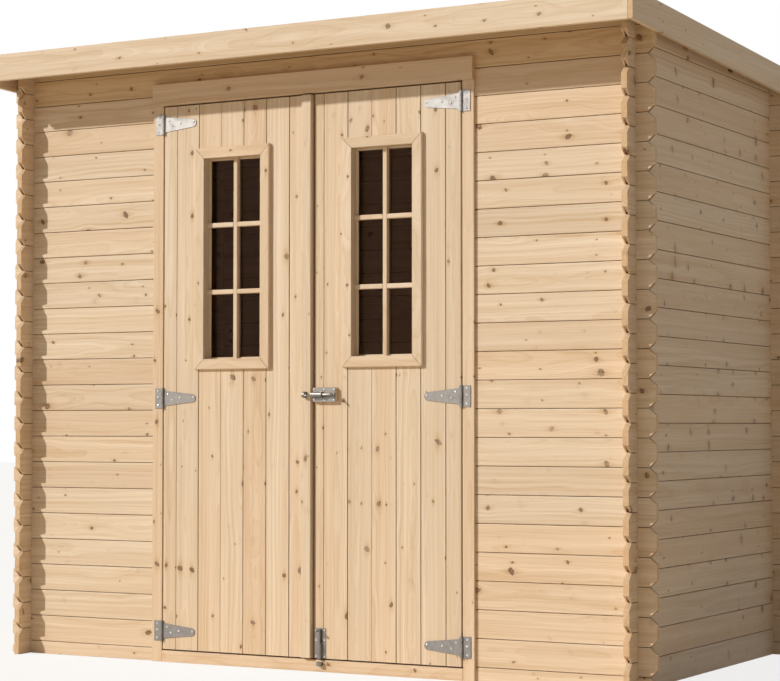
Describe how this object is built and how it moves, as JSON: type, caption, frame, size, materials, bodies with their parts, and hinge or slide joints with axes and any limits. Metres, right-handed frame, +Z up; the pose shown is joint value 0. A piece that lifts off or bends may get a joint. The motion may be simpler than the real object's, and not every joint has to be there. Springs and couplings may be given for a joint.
{
  "type": "garden shed",
  "caption": "Small garden shed of interlocking horizontal boards with a low pent roof and a glazed, ledged double door on T-hinges.",
  "frame": {"origin": "on the ground under the middle of the roof's outline", "axes": "+Z up, +X to the right of someone facing the doors, +Y from the doors to the rear wall"},
  "size_m": [2.429, 1.505, 2.049],
  "materials": {
    "wall_boards": "planed bare softwood",
    "door_surround": "planed bare softwood",
    "door_boards": "planed bare softwood",
    "window_timber": "planed bare softwood",
    "fascia_boards": "planed bare softwood",
    "roof_timber": "planed bare softwood",
    "floor_timber": "planed bare softwood",
    "roof_felt": "mineral-surfaced bitumen felt",
    "glass": "clear, dark interior behind",
    "galvanised_steel": "bright zinc plate"
  },
  "bodies": {
    "shed": {"front_wall_left": "wall_boards", "front_wall_right": "wall_boards", "front_wall_top": "wall_boards", "rear_wall": "wall_boards", "left_wall": "wall_boards", "right_wall": "wall_boards", "door_casing_left": "door_surround", "door_casing_right": "door_surround", "door_lintel": "door_surround", "door_sill": "door_surround", "floor_boards": "floor_timber", "floor_bearers": "floor_timber", "roof_purlins": "roof_timber", "roof_boards": "roof_timber", "roof_felt": "roof_felt", "fascia_front": "fascia_boards", "fascia_rear": "fascia_boards", "fascia_left": "fascia_boards", "fascia_right": "fascia_boards", "left_hinge_plates": "galvanised_steel", "right_hinge_plates": "galvanised_steel", "foot_bolt_keeper": "galvanised_steel"},
    "left_door": {"left_door_boards": "door_boards", "left_door_ledges": "door_boards", "left_door_batten": "door_boards", "left_window_frame": "window_timber", "left_window_glass": "glass", "left_hinge_straps": "galvanised_steel", "latch_keeper": "galvanised_steel"},
    "right_door": {"right_door_boards": "door_boards", "right_door_ledges": "door_boards", "right_window_frame": "window_timber", "right_window_glass": "glass", "right_hinge_straps": "galvanised_steel", "latch_packing": "door_boards", "latch_plate": "galvanised_steel", "foot_bolt_plate": "galvanised_steel"},
    "latch": {"latch_bolt": "galvanised_steel"},
    "foot_bolt": {"foot_bolt": "galvanised_steel"}
  },
  "joints": [
    {"name": "left_door_swing", "type": "hinge", "parent": "shed", "child": "left_door", "pos_m": [-0.5605, -0.5674, 0.875], "axis": [0, 0, -1], "range_deg": [0, 160]},
    {"name": "right_door_swing", "type": "hinge", "parent": "shed", "child": "right_door", "pos_m": [0.5605, -0.5674, 0.875], "axis": [0, 0, 1], "range_deg": [0, 160]},
    {"name": "latch_throw", "type": "slide", "parent": "right_door", "child": "latch", "axis": [-1, 0, 0], "range_m": [0, 0.032]},
    {"name": "foot_bolt_throw", "type": "slide", "parent": "right_door", "child": "foot_bolt", "axis": [0, 0, -1], "range_m": [0, 0.03]}
  ]
}
